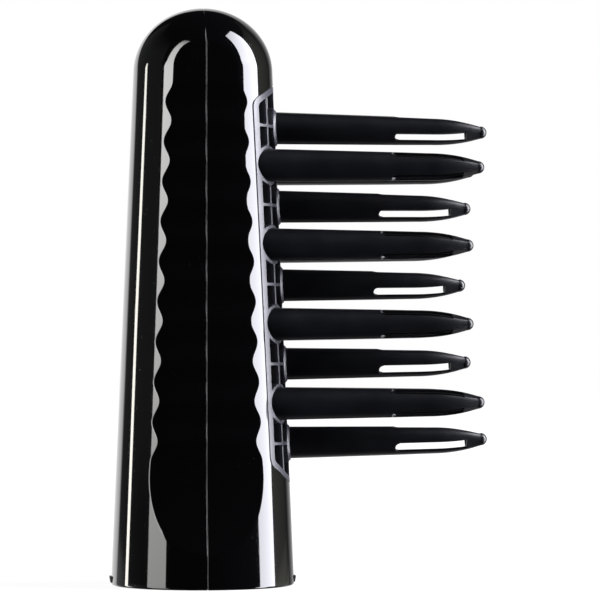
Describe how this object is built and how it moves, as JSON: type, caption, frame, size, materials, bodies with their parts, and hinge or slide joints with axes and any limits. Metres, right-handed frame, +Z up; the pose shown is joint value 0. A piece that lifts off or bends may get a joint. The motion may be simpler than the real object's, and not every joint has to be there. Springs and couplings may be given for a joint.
{
  "type": "dryer diffuser",
  "caption": "Upright comb diffuser for a hair dryer: a round gloss-black body that slips over the nozzle, with a front grille and hollow slotted fingers that blow air into the hair.",
  "frame": {"origin": "centre of the round base rim, on the axis of the dryer socket, in the plane that the part stands on", "axes": "+Z up the body from the socket to the dome, +X from the body towards the finger tips, +-Y the two rippled grip panels, which the seam between the shells crosses"},
  "size_m": [0.1252, 0.0604, 0.19],
  "materials": {
    "gloss_black": "polished moulded plastic",
    "grille_black": "satin moulded plastic",
    "finger_black": "satin, slightly soft to the touch",
    "inner_black": "plain moulded plastic",
    "screw_steel": "zinc plated",
    "sleeve_rubber": "matt"
  },
  "bodies": {
    "root": {"rear_shell": "gloss_black", "front_shell": "gloss_black", "finger_grille": "grille_black", "finger_retainer": "inner_black", "retainer_screws": "screw_steel", "finger_centre_1": "finger_black", "finger_centre_2": "finger_black", "finger_centre_3": "finger_black", "finger_centre_4": "finger_black", "finger_centre_5": "finger_black", "finger_left_1": "finger_black", "finger_left_2": "finger_black", "finger_left_3": "finger_black", "finger_left_4": "finger_black", "finger_right_1": "finger_black", "finger_right_2": "finger_black", "finger_right_3": "finger_black", "finger_right_4": "finger_black", "socket_collar": "inner_black", "grip_sleeve": "sleeve_rubber"}
  },
  "joints": []
}
